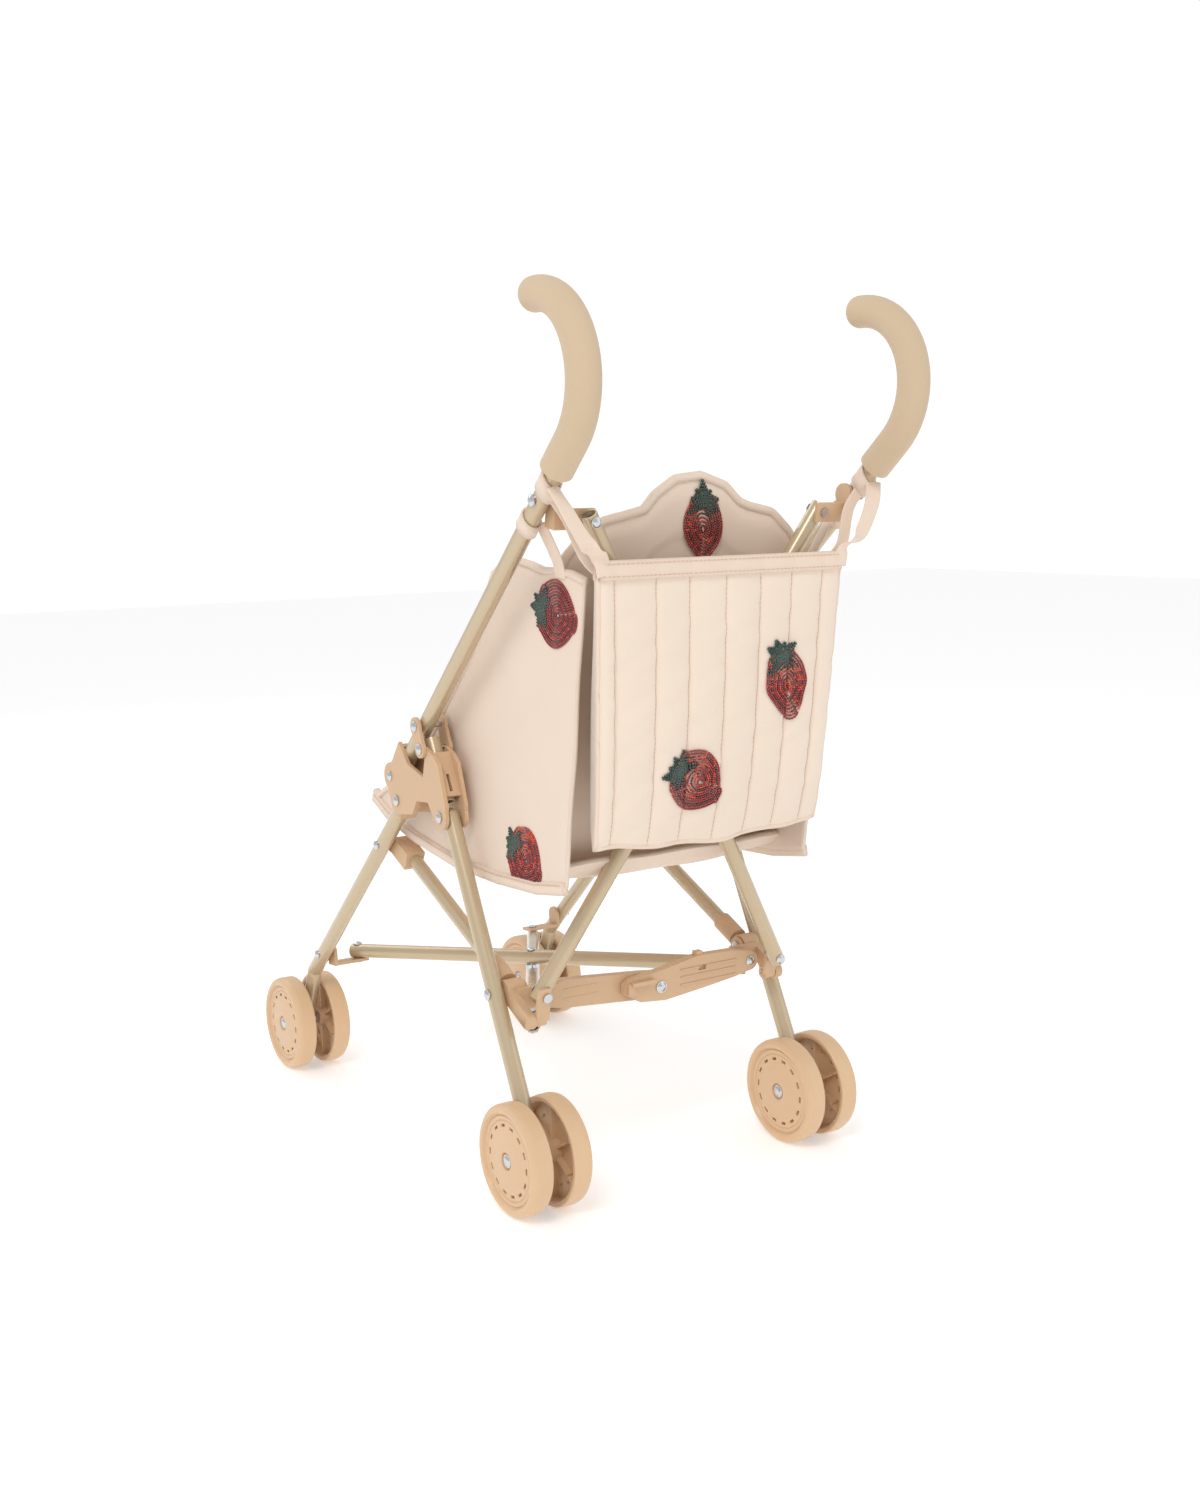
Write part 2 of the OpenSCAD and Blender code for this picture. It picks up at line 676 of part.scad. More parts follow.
module storage_bag() color(C_CLOTH) {
    b0 = back_y(bag_bottom) + 19;
    b1 = back_y(bag_top) + 19;
    difference() {
        plate(-bag_half, bag_half) polygon([[b1, bag_top], [b1 + 10, bag_top],
            [b0 + 22, bag_bottom + 6], [b0 + 16, bag_bottom - 2], [b0 + 2, bag_bottom - 2], [b0, bag_bottom + 4]]);
        plate(-bag_half + 4, bag_half - 4) polygon([[b1 + 2.5, bag_top + 1], [b1 + 7.5, bag_top + 1],
            [b0 + 19, bag_bottom + 8], [b0 + 14, bag_bottom + 2], [b0 + 4, bag_bottom + 2], [b0 + 2.6, bag_bottom + 6]]);
    }
}

place(1) hub_bracket_left();
place(-1) hub_bracket_left();  // hub_bracket_right
place(1) handle_tube_left();
place(-1) handle_tube_left();  // handle_tube_right
place(1) grip_left();
place(-1) grip_left();  // grip_right
place(1) hub_brace_left();
place(-1) hub_brace_left();  // hub_brace_right
place(1) link_plates_left();
place(-1) link_plates_left();  // link_plates_right
place(1) frame_rivets_left();
place(-1) frame_rivets_left();  // frame_rivets_right
place(1) front_leg_left();
place(-1) front_leg_left();  // front_leg_right
place(1) front_leg_rivets_left();
place(-1) front_leg_rivets_left();  // front_leg_rivets_right
place(1) rear_leg_left();
place(-1) rear_leg_left();  // rear_leg_right
place(1) rear_leg_rivets_left();
place(-1) rear_leg_rivets_left();  // rear_leg_rivets_right
place(1) seat_tube_left();
place(-1) seat_tube_left();  // seat_tube_right
place(1) seat_tube_clevis_left();
place(-1) seat_tube_clevis_left();  // seat_tube_clevis_right
place(1) corner_bracket();  // corner_bracket_left
place(-1) corner_bracket();  // corner_bracket_right
place(1) lower_front_clevis_left();
place(-1) lower_front_clevis_left();  // lower_front_clevis_right
place(1) lower_rear_clevis_left();
place(-1) lower_rear_clevis_left();  // lower_rear_clevis_right
place(1) back_swivel_left();
place(-1) back_swivel_left();  // back_swivel_right
place(1) upper_bracket_left();
place(-1) upper_bracket_left();  // upper_bracket_right
place(1) axle(front_axle_p);  // front_axle_left
place(-1) axle(front_axle_p);  // front_axle_right
place(1) axle(rear_axle_p);  // rear_axle_left
place(-1) axle(rear_axle_p);  // rear_axle_right
place(1) wheel(front_axle_p, true);  // wheel_front_left_outer
place(1) wheel(front_axle_p, false);  // wheel_front_left_inner
place(-1) wheel(front_axle_p, true);  // wheel_front_right_outer
place(-1) wheel(front_axle_p, false);  // wheel_front_right_inner
place(1) wheel(rear_axle_p, true);  // wheel_rear_left_outer
place(1) wheel(rear_axle_p, false);  // wheel_rear_left_inner
place(-1) wheel(rear_axle_p, true);  // wheel_rear_right_outer
place(-1) wheel(rear_axle_p, false);  // wheel_rear_right_inner
place(1) lower_brace_a();
place(1) lower_brace_b();
place(1) back_brace_a();
place(1) back_brace_b();
place(1) lower_brace_rivets_a();
place(1) lower_brace_rivets_b();
place(1) back_brace_rivets_a();
place(1) back_brace_rivets_b();
place(1) lock_arm_left();
place(1) lock_arm_right();
place(1) lock_rivets_left();
place(1) lock_rivets_right();
place(1) seat_sling();
place(1) storage_bag();
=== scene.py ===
import bpy
import bmesh
import json
import math
from mathutils import Matrix, Vector


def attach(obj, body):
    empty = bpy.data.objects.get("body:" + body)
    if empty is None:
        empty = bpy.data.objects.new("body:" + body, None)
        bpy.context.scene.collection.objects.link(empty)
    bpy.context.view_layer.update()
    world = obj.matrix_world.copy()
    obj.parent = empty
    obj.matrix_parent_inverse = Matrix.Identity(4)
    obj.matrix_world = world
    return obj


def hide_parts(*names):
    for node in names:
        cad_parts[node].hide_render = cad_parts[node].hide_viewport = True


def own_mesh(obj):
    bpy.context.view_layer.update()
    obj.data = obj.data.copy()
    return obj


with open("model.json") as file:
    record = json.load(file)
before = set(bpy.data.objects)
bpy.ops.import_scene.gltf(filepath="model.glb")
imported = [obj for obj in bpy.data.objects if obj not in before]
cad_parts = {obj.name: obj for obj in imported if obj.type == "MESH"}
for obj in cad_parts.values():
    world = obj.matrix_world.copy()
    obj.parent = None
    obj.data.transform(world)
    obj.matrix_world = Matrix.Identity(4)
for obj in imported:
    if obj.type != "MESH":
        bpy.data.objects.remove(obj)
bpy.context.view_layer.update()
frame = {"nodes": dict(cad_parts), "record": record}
NODES = frame["nodes"]
MM = 0.001
YS = 139.19  # rear axle to the middle of the overall box, in mm
scene = bpy.context.scene


# ---------------------------------------------------------------- materials
def srgb(r, g, b):
    def lin(c):
        c /= 255.0
        return c / 12.92 if c <= 0.04045 else ((c + 0.055) / 1.055) ** 2.4
    return (lin(r), lin(g), lin(b), 1.0)


def material(name, colour, rough, metallic=0.0, coat=0.0, bump=0.0, scale=200.0, vary=0.0,
             weave=False, subsurface=0.0, sheen=0.0):
    m = bpy.data.materials.new(name)
    m.use_nodes = True
    nt = m.node_tree
    b = nt.nodes["Principled BSDF"]
    b.inputs["Base Color"].default_value = colour
    b.inputs["Roughness"].default_value = rough
    b.inputs["Metallic"].default_value = metallic
    if coat:
        b.inputs["Coat Weight"].default_value = coat
        b.inputs["Coat Roughness"].default_value = 0.12
    if sheen:
        b.inputs["Sheen Weight"].default_value = sheen
        b.inputs["Sheen Roughness"].default_value = 0.5
    if subsurface:
        b.inputs["Subsurface Weight"].default_value = subsurface
        b.inputs["Subsurface Radius"].default_value = (0.004, 0.002, 0.001)
        b.inputs["Subsurface Scale"].default_value = 1.0
    tc = nt.nodes.new("ShaderNodeTexCoord")
    noise = nt.nodes.new("ShaderNodeTexNoise")
    noise.inputs["Scale"].default_value = scale
    noise.inputs["Detail"].default_value = 4.0
    nt.links.new(tc.outputs["Object"], noise.inputs["Vector"])
    height = noise.outputs["Fac"]
    if weave:
        prev = None
        for axis in ("X", "Z"):
            w = nt.nodes.new("ShaderNodeTexWave")
            w.wave_type = "BANDS"
            w.bands_direction = axis
            w.inputs["Scale"].default_value = 420.0
            w.inputs["Distortion"].default_value = 1.2
            w.inputs["Detail"].default_value = 1.0
            nt.links.new(tc.outputs["Object"], w.inputs["Vector"])
            if prev is not None:
                mx = nt.nodes.new("ShaderNodeMath")
                mx.operation = "MAXIMUM"
                nt.links.new(prev, mx.inputs[0])
                nt.links.new(w.outputs["Fac"], mx.inputs[1])
                height = mx.outputs[0]
            prev = w.outputs["Fac"]
    if vary:
        ramp = nt.nodes.new("ShaderNodeMixRGB")
        ramp.blend_type = "MULTIPLY"
        n2 = nt.nodes.new("ShaderNodeTexNoise")
        n2.inputs["Scale"].default_value = 14.0
        n2.inputs["Detail"].default_value = 3.0
        nt.links.new(tc.outputs["Object"], n2.inputs["Vector"])
        cr = nt.nodes.new("ShaderNodeValToRGB")
        cr.color_ramp.elements[0].position = 0.3
        cr.color_ramp.elements[0].color = (1 - vary, 1 - vary * 1.1, 1 - vary * 1.2, 1)
        cr.color_ramp.elements[1].position = 0.7
        cr.color_ramp.elements[1].color = (1, 1, 1, 1)
        nt.links.new(n2.outputs["Fac"], cr.inputs["Fac"])
        ramp.inputs["Fac"].default_value = 1.0
        ramp.inputs["Color1"].default_value = colour
        nt.links.new(cr.outputs["Color"], ramp.inputs["Color2"])
        nt.links.new(ramp.outputs["Color"], b.inputs["Base Color"])
    if bump:
        bp = nt.nodes.new("ShaderNodeBump")
        bp.inputs["Strength"].default_value = 1.0
        bp.inputs["Distance"].default_value = bump
        nt.links.new(height, bp.inputs["Height"])
        nt.links.new(bp.outputs["Normal"], b.inputs["Normal"])
    return m


TUBE = material("tube_paint", srgb(196, 176, 144), 0.26, metallic=0.35, coat=0.6, scale=900, bump=0.00001)
PLASTIC = material("joint_plastic", srgb(208, 174, 138), 0.42, subsurface=0.06, scale=700, bump=0.00003)
WHEEL = material("wheel_plastic", srgb(220, 186, 148), 0.36, subsurface=0.12, scale=500, bump=0.00002,
                 vary=0.04)
GRIP = material("grip_foam", srgb(204, 180, 150), 0.82, scale=1500, bump=0.00012, vary=0.03, sheen=0.2)
STEEL = material("rivet_steel", srgb(205, 207, 210), 0.16, metallic=1.0, scale=300, bump=0.000005)
COTTON = material("seat_cotton", srgb(231, 211, 193), 0.78, weave=True, bump=0.00004, vary=0.035, sheen=0.25)
QUILT = material("bag_cotton", srgb(234, 216, 198), 0.7, scale=110, bump=0.0006, vary=0.03, sheen=0.3)
BIND = material("binding_cotton", srgb(229, 208, 189), 0.74, weave=True, bump=0.00005, sheen=0.25)
THREAD = material("thread", srgb(214, 186, 160), 0.8)
RED = material("bead_red", srgb(150, 22, 24), 0.22, coat=0.8)
DARKRED = material("bead_dark_red", srgb(96, 14, 20), 0.3, coat=0.6)
# Sequin beads, used only in each berry's glare band, where their lighter colour and shine paint the
# highlight
SEQUIN_HIGHLIGHT = material("sequin_highlight", srgb(214, 74, 48), 0.3, metallic=0.25, coat=0.5)
GREEN = material("bead_green", srgb(22, 62, 50), 0.25, coat=0.7)

SLOTS = {"tube_paint": TUBE, "joint_plastic": PLASTIC, "wheel_plastic": WHEEL, "grip_foam": GRIP,
         "rivet_steel": STEEL, "seat_cotton": COTTON, "bag_cotton": QUILT}
for part in frame["record"]["subparts"]:
    ob = NODES[part["node"]]
    ob.data.materials.clear()
    ob.data.materials.append(SLOTS[part["material_slot"]])

# Edge rounding in metres, by how a node's name starts
EDGE_ROUND = {"wheel": 0.0006, "grip": 0.0012, "hub_b": 0.0007, "lock": 0.0008, "corner": 0.0008,
              "lower_rear_clevis": 0.0006, "lower_front_clevis": 0.0006, "upper_bracket": 0.0006,
              "back_swivel": 0.0006, "link_plates": 0.0006, "seat_tube_clevis": 0.0006}


def finish_edges(name, ob):
    """Rounds the moulded edges a little and shades curved faces smooth."""
    width = next((w for start, w in EDGE_ROUND.items() if name.startswith(start)), 0.0)
    if width:
        bv = ob.modifiers.new("edge", "BEVEL")
        bv.width = width
        bv.segments = 2
        bv.limit_method = "ANGLE"
        bv.angle_limit = math.radians(40)
    for p in ob.data.polygons:
        p.use_smooth = True
    ob.data.set_sharp_from_angle(angle=math.radians(32))


for name, ob in NODES.items():
    if name not in ("seat_sling", "storage_bag"):
        finish_edges(name, ob)


# ---------------------------------------------------------------- helpers
def P(x, y, z):
    """Millimetres with the rear axle at y 0, to metres in the row frame."""
    return Vector((x * MM, (y + YS) * MM, z * MM))


def new_mesh(name, verts, faces, mat, smooth=True):
    me = bpy.data.meshes.new(name)
    me.from_pydata([tuple(v) for v in verts], [], faces)
    me.update()
    ob = bpy.data.objects.new(name, me)
    scene.collection.objects.link(ob)
    me.materials.append(mat)
    for p in me.polygons:
        p.use_smooth = smooth
    return ob


def grid_shell(name, f, nu, nv, thick, mat):
    """A closed shell from a surface f(u, v) -> Vector, with its own thickness."""
    pts = [[f(i / nu, j / nv) for j in range(nv + 1)] for i in range(nu + 1)]
    nrm = []
    for i in range(nu + 1):
        row = []
        for j in range(nv + 1):
            a = pts[min(i + 1, nu)][j] - pts[max(i - 1, 0)][j]
            b = pts[i][min(j + 1, nv)] - pts[i][max(j - 1, 0)]
            n = a.cross(b)
            row.append(n.normalized() if n.length > 1e-12 else Vector((0, 1, 0)))
        nrm.append(row)
    t = thick if callable(thick) else (lambda u, v: thick)
    verts = []
    for s in (0.5, -0.5):
        for i in range(nu + 1):
            for j in range(nv + 1):
                verts.append(pts[i][j] + nrm[i][j] * s * t(i / nu, j / nv))
    k = (nu + 1) * (nv + 1)
    idx = lambda i, j, s: s * k + i * (nv + 1) + j
    faces = []
    for i in range(nu):
        for j in range(nv):
            faces.append((idx(i, j, 0), idx(i + 1, j, 0), idx(i + 1, j + 1, 0), idx(i, j + 1, 0)))
            faces.append((idx(i, j, 1), idx(i, j + 1, 1), idx(i + 1, j + 1, 1), idx(i + 1, j, 1)))
    for i in range(nu):
        faces.append((idx(i, 0, 0), idx(i, 0, 1), idx(i + 1, 0, 1), idx(i + 1, 0, 0)))
        faces.append((idx(i, nv, 0), idx(i + 1, nv, 0), idx(i + 1, nv, 1), idx(i, nv, 1)))
    for j in range(nv):
        faces.append((idx(0, j, 0), idx(0, j + 1, 0), idx(0, j + 1, 1), idx(0, j, 1)))
        faces.append((idx(nu, j, 0), idx(nu, j, 1), idx(nu, j + 1, 1), idx(nu, j + 1, 0)))
    return new_mesh(name, verts, faces, mat)


def tube(name, pts, r, mat, flat=1.0, side=Vector((0, 0, 1)), n=8):
    """A swept section along points: round, or flattened for bindings and straps."""
    verts, faces = [], []
    last = len(pts) - 1
    for i, p in enumerate(pts):
        t = (pts[min(i + 1, last)] - pts[max(i - 1, 0)]).normalized()
        a = side - t * side.dot(t)
        a = a.normalized() if a.length > 1e-6 else t.orthogonal().normalized()
        b = t.cross(a)
        for k in range(n):
            c, s = math.cos(2 * math.pi * k / n), math.sin(2 * math.pi * k / n)
            if flat != 1.0:
                c = math.copysign(abs(c) ** 0.5, c)
                s = math.copysign(abs(s) ** 0.5, s)
            verts.append(p + a * c * r + b * s * r * flat)
    for i in range(last):
        for k in range(n):
            a0, a1 = i * n + k, i * n + (k + 1) % n
            faces.append((a0, a0 + n, a1 + n, a1))
    faces.append(tuple(range(n)))
    faces.append(tuple(last * n + k for k in reversed(range(n))))
    return new_mesh(name, verts, faces, mat)


def spline(pts, per=12):
    """A smooth line through the points, per steps to each stretch."""
    out = []
    last = len(pts) - 1
    for i in range(last):
        p0, p1, p2, p3 = pts[max(0, i - 1)], pts[i], pts[i + 1], pts[min(last, i + 2)]
        for s in range(per):
            t = s / per
            out.append(0.5 * ((2 * p1) + (p2 - p0) * t + (2 * p0 - 5 * p1 + 4 * p2 - p3) * t * t
                              + (3 * p1 - p0 - 3 * p2 + p3) * t ** 3))
    out.append(pts[-1].copy())
    return out


def join(name, obs):
    """One object from several, each face with its own material."""
    bm = bmesh.new()
    mats = []
    for o in obs:
        for m in o.data.materials:
            if m not in mats:
                mats.append(m)
        me = o.data.copy()
        me.transform(o.matrix_world)
        idx = [mats.index(m) for m in o.data.materials]
        for p in me.polygons:
            p.material_index = idx[p.material_index]
        bm.from_mesh(me)
    out = bpy.data.meshes.new(name)
    bm.to_mesh(out)
    bm.free()
    for o in obs:
        bpy.data.objects.remove(o, do_unlink=True)
    ob = bpy.data.objects.new(name, out)
    scene.collection.objects.link(ob)
    for m in mats:
        out.materials.append(m)
    return ob


# ---------------------------------------------------------------- seat
# Foot and slope of the back brace plane, seen from the side, in mm
BRACE_FOOT_Y, BRACE_FOOT_Z = -17.7, 113.7
BRACE_SLOPE = math.tan(math.radians(90 - 80.2))
SEAT_HALF = 91.5
BACK_FOOT_Z = 206
BACK_GAP = 15.5
SCALLOP_Z = 396
SIDE_FRONT_Y = -236
SIDE_HEM_LEN = 256
SIDE_TOP_LEN = 282
TRIM_STEPS = 90
US = [i / TRIM_STEPS for i in range(TRIM_STEPS + 1)]

# Scalloped top of the back panel: across, up
SCALLOP = [(-92, 396), (-80, 412), (-66, 424), (-48, 428), (-40, 431), (-28, 441), (-10, 447), (8, 445),
           (22, 436), (30, 427), (44, 424), (60, 421), (74, 412), (84, 402), (92, 390)]
# Seat bottom from the back corner (0) to the front lip (1)
BASE_Y = [(0, -3), (0.12, -14), (0.35, -60), (0.6, -115), (0.82, -175), (0.93, -215), (1.0, -247)]
BASE_Z = [(0, 213), (0.12, 203), (0.35, 199), (0.6, 200), (0.82, 207), (0.93, 217), (1.0, 232)]
# Upper edge and hem of a side wing: front to rear, up
SIDE_TOP = [(-230, 226), (-214, 234), (-196, 236), (-178, 244), (-160, 262), (-140, 284), (-118, 306),
            (-98, 326), (-80, 346), (-70, 362), (-64, 378), (-58, 389), (-44, 396), (-28, 398),
            (-14, 396), (0, 393), (14, 393), (30, 392), (46, 388)]
SIDE_HEM = [(-247, 231), (-215, 216), (-175, 206), (-115, 198), (-60, 197), (-14, 199), (24, 205)]


def along(table, t):
    """Straight-line lookup in a list of (place, value) points."""
    for (t0, a), (t1, b) in zip(table, table[1:]):
        if t <= t1:
            return a + (b - a) * (t - t0) / (t1 - t0)
    return table[-1][1]


def arch(t):
    """Rises from 0 to 1 and back as t goes from 0 to 1."""
    return math.sin(math.pi * t)


def back_y(z):
    """Depth of the back brace plane at a height."""
    return BRACE_FOOT_Y + (z - BRACE_FOOT_Z) * BRACE_SLOPE


def puff(x, z, a):
    """Slow unevenness of loose cloth, up to about a mm."""
    return a * math.sin(x * 0.09 + z * 0.05) + a * 0.7 * math.sin(x * 0.05 - z * 0.083 + 1.7)


def back_surface(u, v):
    x = -SEAT_HALF + 2 * SEAT_HALF * u
    z = BACK_FOOT_Z + (along(SCALLOP, x) - BACK_FOOT_Z) * v
    sag = 10 * arch(u) * arch(min(1, v * 1.05))
    y = back_y(z) - BACK_GAP - sag * 0.6 + puff(x, z, 0.5) - 6 * (1 - v) ** 6
    if z > SCALLOP_Z:
        y -= (z - SCALLOP_Z) * 0.10
    return P(x, y, z)


def back_thick(u, v):
    """The scallop is padded; the rest is plain cloth, and both thin out to the edges."""
    pad = min(1.0, min(v, 1 - v, u, 1 - u) / 0.04)
    return (1.6 + (3.2 if v > 0.86 else 1.2) * pad) * MM


def base_profile(t):
    """The base's side profile with its corners rounded: the mean of seven near points."""
    spread = [min(1, max(0, t + k * 0.015)) for k in range(-3, 4)]
    return sum(along(BASE_Y, s) / 7 for s in spread), sum(along(BASE_Z, s) / 7 for s in spread)


def base_surface(u, v):
    x = -SEAT_HALF + 2 * SEAT_HALF * u
    y, z = base_profile(v)
    front = max(0.0, (v - 0.7) / 0.3)
    side = abs(2 * u - 1)
    corner = side ** 6
    sag = 9 * arch(u) * arch(v) + puff(x, y, 0.5)
    return P(x * (1 - 0.05 * front * corner), y + 18 * front * corner, z - sag - 2 * front * (1 - side))


def side_ends(u):
    """Depths of a wing's hem and upper edge at u, front to rear."""
    return SIDE_FRONT_Y + SIDE_HEM_LEN * u, SIDE_FRONT_Y + SIDE_TOP_LEN * u


def side_heights(y_hem, y_top):
    z_hem = along(SIDE_HEM, y_hem)
    return z_hem, max(along(SIDE_TOP, y_top), z_hem + 3)


def side_surface(sgn):
    def f(u, v):
        y_hem, y_top = side_ends(u)
        z_hem, z_top = side_heights(y_hem, y_top)
        y = y_hem + (y_top - y_hem) * v
        z = z_hem + (z_top - z_hem) * v
        x = SEAT_HALF + 0.4 * puff(y, z, 0.9) * arch(v) - 2.2 * arch(u) * arch(v)
        lean = 0.5 * max(0, (z - 330) / 60)
        return P(sgn * (x - lean), y, z)
    return f


def stitches(name, pts, step, length, r, mat, off):
    """Short raised dashes along a line."""
    verts, faces = [], []
    cum = [0.0]
    for a, b in zip(pts, pts[1:]):
        cum.append(cum[-1] + (b - a).length)

    def at(s):
        for i in range(len(cum) - 1):
            if s <= cum[i + 1]:
                k = (s - cum[i]) / max(1e-9, cum[i + 1] - cum[i])
                return pts[i].lerp(pts[i + 1], k)
        return pts[-1].copy()
    n2 = off.normalized()
    s = step
    while s + length < cum[-1]:
        a, b = at(s) + off, at(s + length) + off
        n1 = (b - a).normalized().cross(n2).normalized()
        first = len(verts)
        for q in (a, b):
            for (c1, c2) in ((1, 0), (0, 1), (-1, 0), (0, -1)):
                verts.append(q + n1 * c1 * r + n2 * c2 * r)
        for k in range(4):
            faces.append((first + k, first + (k + 1) % 4, first + 4 + (k + 1) % 4, first + 4 + k))
        faces.append((first + 3, first + 2, first + 1, first))
        faces.append((first + 4, first + 5, first + 6, first + 7))
        s += step
    return new_mesh(name, verts, faces, mat, smooth=False)


def build_seat():
    panels = [grid_shell("seat_back_panel", back_surface, 72, 72, back_thick, COTTON),
              grid_shell("seat_base_panel", base_surface, 60, 80, 3.4 * MM, COTTON)]
    for s, side in ((1, "left"), (-1, "right")):
        panels.append(grid_shell(f"seat_side_{side}", side_surface(s), 90, 60, 2.6 * MM, COTTON))
    return join("seat", panels)


def build_seat_trim():
    """Bindings round every free edge, and a row of stitches along each hem."""
    trim = [tube("seat_back_bind", [back_surface(u, 1.0) for u in US], 3.0 * MM, BIND, flat=0.8)]
    hems = {}
    for s in (1, -1):
        f = side_surface(s)
        hems[s] = [f(u, 0.0) + Vector((s * 1.2 * MM, 0, -0.5 * MM)) for u in US]
        trim.append(tube(f"seat_side_bind_{s}", [f(u, 1.0) for u in US], 2.6 * MM, BIND, flat=0.8,
                         side=Vector((1, 0, 0))))
        trim.append(tube(f"seat_hem_{s}", hems[s], 4.2 * MM, BIND, flat=0.5))
    trim.append(tube("seat_lip_bind", [base_surface(u, 1.0) for u in US], 3.6 * MM, BIND, flat=0.9))
    for s in (1, -1):
        line = [p + Vector((s * 1.5 * MM, 0, 2.6 * MM)) for p in hems[s]]
        trim.append(stitches(f"seat_hem_stitch_{s}", line, 3.4 * MM, 2.2 * MM, 0.3 * MM, THREAD,
                             Vector((s * 0.8 * MM, 0, 0.0))))
    return join("seat_binding", trim)


seat = build_seat()
seat_trim = build_seat_trim()

# ---------------------------------------------------------------- bag
BAG_TOP = 399.0
BAG_BOTTOM = 226.0
BAG_BAND = 9
BAG_HALF = 89
BAG_TAPER = 11
# How far the rear and front panels lie behind the brace plane, at the bottom and at the top
REAR_LOW, REAR_HIGH = 38, 29
FRONT_LOW, FRONT_HIGH = 21.5, 20.5
QUILT_LINES = [-89, -75, -51, -27, -1, 26, 50, 79, 89]


def bag_x(u, v):
    return -BAG_HALF + (2 * BAG_HALF - BAG_TAPER * (1 - v)) * u


def bag_y(low, high, v):
    y_low, y_high = back_y(BAG_BOTTOM) + low, back_y(BAG_TOP) + high
    return y_low + (y_high - y_low) * v


def channel(x):
    """Fullness of the quilting: 0 on a seam, 1 between seams."""
    for a, b in zip(QUILT_LINES, QUILT_LINES[1:]):
        if a <= x <= b:
            return arch((x - a) / (b - a)) ** 0.55
    return 0.0


def wrinkle(x, z):
    return (0.7 * math.sin(z * 0.42 + 1.4 * math.sin(x * 0.11)) * math.sin(x * 0.13 + z * 0.031)
            + 0.5 * math.sin(z * 0.23 + x * 0.19 + 2.0))


def bag_back(u, v):
    """The quilted rear panel."""
    x = bag_x(u, v)
    z_low = BAG_BOTTOM - 2.1 * math.cos(2 * math.pi * (u - 0.5)) + math.sin(x * 0.12)
    z = z_low + (BAG_TOP - BAG_BAND - z_low) * v
    body = arch(min(1, v * 1.02)) ** 0.5
    quilt = 3.4 * channel(-BAG_HALF + 2 * BAG_HALF * u) + 0.6 * wrinkle(x, z)
    sag = 3.0 * arch(v) * arch(u)
    y = bag_y(REAR_LOW, REAR_HIGH, v) - 3.2 + quilt * (0.35 + 0.65 * body) + sag - 5.0 * (1 - v) ** 8
    return P(x, y, z)


def bag_front(u, v):
    """The plain panel that lies against the seat."""
    x = bag_x(u, v)
    z = BAG_BOTTOM + (BAG_TOP - BAG_BAND - BAG_BOTTOM) * v
    return P(x, bag_y(FRONT_LOW, FRONT_HIGH, v) + 0.5 * puff(x, z, 0.5) + 5.0 * (1 - v) ** 8, z)


def build_bag():
    """One loop of cloth round the two panels, closed at the bottom and given its thickness."""
    nu, nv = 178, 90
    verts, faces = [], []
    for j in range(nv + 1):
        verts += [bag_back(i / nu, j / nv) for i in range(nu + 1)]
        verts += [bag_front(1 - i / nu, j / nv) for i in range(nu + 1)]
    n = 2 * (nu + 1)
    for j in range(nv):
        for i in range(n):
            a, b = j * n + i, j * n + (i + 1) % n
            faces.append((a, b, b + n, a + n))
    for i in range(nu):
        faces.append((i + 1, i, n - 1 - i, n - 2 - i))
    ob = new_mesh("storage_bag_shell", verts, faces, QUILT)
    so = ob.modifiers.new("thick", "SOLIDIFY")
    so.thickness = 1.8 * MM
    so.offset = 1.0
    dep = bpy.context.evaluated_depsgraph_get()
    me = bpy.data.meshes.new_from_object(ob.evaluated_get(dep))
    ob.modifiers.clear()
    ob.data = me
    for p in me.polygons:
        p.use_smooth = True
    return ob


def build_bag_trim():
    """The band round the mouth, the seams of the quilting and the bindings down the sides."""
    steps = 60
    us = [i / steps for i in range(steps + 1)]
    dash = Vector((0, 0.15 * MM, 0))

    def band_back(u, v):
        return bag_back(u, 1.0) + Vector((0, (0.2 + 0.6 * arch(v)) * MM, (-1.5 + 11.0 * v) * MM))

    def band_front(u, v):
        return bag_front(u, 1.0) + Vector((0, -0.2 * MM, (-1.5 + 11.0 * v) * MM))

    trim = [grid_shell("bag_band_back", band_back, steps, 6, 2.8 * MM, BIND),
            grid_shell("bag_band_front", band_front, steps, 6, 2.6 * MM, BIND)]
    for dz in (0.4, 7.6):
        line = [bag_back(u, 1.0) + Vector((0, 1.9 * MM, dz * MM)) for u in us]
        trim.append(stitches(f"bag_band_stitch_{dz}", line, 3.2 * MM, 2.1 * MM, 0.28 * MM, THREAD,
                             Vector((0, 0.25 * MM, 0))))
    for x in QUILT_LINES[1:-1]:
        u = (x + BAG_HALF) / (2 * BAG_HALF)
        line = [bag_back(u, v) + dash for v in us]
        trim.append(stitches(f"bag_seam_{x}", line, 3.0 * MM, 2.2 * MM, 0.25 * MM, THREAD, dash))
    for u in (0.0, 1.0):
        line = [bag_back(u, j / 40).lerp(bag_front(u, j / 40), 0.15) for j in range(41)]
        trim.append(tube(f"bag_side_bind_{u}", line, 1.6 * MM, BIND))
    line = [bag_back(u, 0.0) + Vector((0, -0.8 * MM, 0)) for u in us]
    trim.append(tube("bag_bottom_bind", line, 1.8 * MM, BIND))
    return join("bag_binding", trim)


bag = build_bag()
bag_trim = build_bag_trim()


# ---------------------------------------------------------------- straps
# The left handle tube's foot in mm, and its direction: splay, then the rear and upward parts
HANDLE_FOOT = (106, -165.94, 251.03)
HANDLE_SPLAY = math.radians(2)
HANDLE_REAR, HANDLE_RISE = 0.74664, 0.66524
STRAP_UP = 288
TIE_UP = 256
LOOP_R = 5.7


